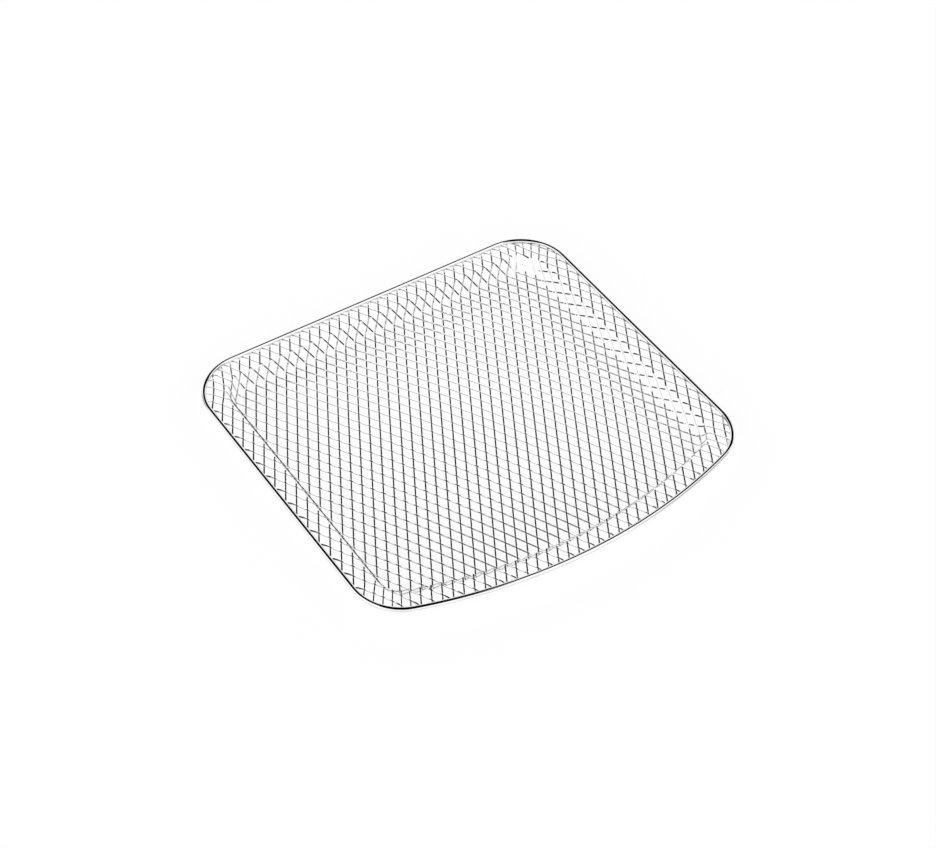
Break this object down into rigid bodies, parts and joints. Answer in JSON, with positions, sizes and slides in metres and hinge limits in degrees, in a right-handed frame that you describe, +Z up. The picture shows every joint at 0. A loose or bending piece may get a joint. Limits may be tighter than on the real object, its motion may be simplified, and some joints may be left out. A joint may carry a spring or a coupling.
{
  "type": "cooling rack",
  "caption": "Shallow pressed tray of diamond steel mesh with a slightly domed floor, flat flange, bowed front edge and rolled tube rim.",
  "frame": {"origin": "centre of the tray's footprint, on the surface it rests on", "axes": "+Z up, -Y towards the bowed front edge, +X to the right"},
  "size_m": [0.27, 0.2606, 0.0124],
  "materials": {
    "rim_steel": "polished stainless sheet, rolled into a tube",
    "mesh_steel": "bright expanded stainless sheet"
  },
  "bodies": {
    "root": {"rim_binding": "rim_steel", "strands_back_right_01": "mesh_steel", "strands_back_right_02": "mesh_steel", "strands_back_right_03": "mesh_steel", "strands_back_right_04": "mesh_steel", "strands_back_right_05": "mesh_steel", "strands_back_right_06": "mesh_steel", "strands_back_right_07": "mesh_steel", "strands_back_right_08": "mesh_steel", "strands_back_right_09": "mesh_steel", "strands_back_right_10": "mesh_steel", "strands_back_right_11": "mesh_steel", "strands_back_right_12": "mesh_steel", "strands_back_right_13": "mesh_steel", "strands_back_right_14": "mesh_steel", "strands_back_right_15": "mesh_steel", "strands_back_right_16": "mesh_steel", "strands_back_right_17": "mesh_steel", "strands_back_right_18": "mesh_steel", "strands_back_right_19": "mesh_steel", "strands_back_right_20": "mesh_steel", "strands_back_right_21": "mesh_steel", "strands_back_right_22": "mesh_steel", "strands_back_right_23": "mesh_steel", "strands_back_right_24": "mesh_steel", "strands_back_right_25": "mesh_steel", "strands_back_right_26": "mesh_steel", "strands_back_left_01": "mesh_steel", "strands_back_left_02": "mesh_steel", "strands_back_left_03": "mesh_steel", "strands_back_left_04": "mesh_steel", "strands_back_left_05": "mesh_steel", "strands_back_left_06": "mesh_steel", "strands_back_left_07": "mesh_steel", "strands_back_left_08": "mesh_steel", "strands_back_left_09": "mesh_steel", "strands_back_left_10": "mesh_steel", "strands_back_left_11": "mesh_steel", "strands_back_left_12": "mesh_steel", "strands_back_left_13": "mesh_steel", "strands_back_left_14": "mesh_steel", "strands_back_left_15": "mesh_steel", "strands_back_left_16": "mesh_steel", "strands_back_left_17": "mesh_steel", "strands_back_left_18": "mesh_steel", "strands_back_left_19": "mesh_steel", "strands_back_left_20": "mesh_steel", "strands_back_left_21": "mesh_steel", "strands_back_left_22": "mesh_steel", "strands_back_left_23": "mesh_steel", "strands_back_left_24": "mesh_steel", "strands_back_left_25": "mesh_steel", "strands_back_left_26": "mesh_steel"}
  },
  "joints": []
}
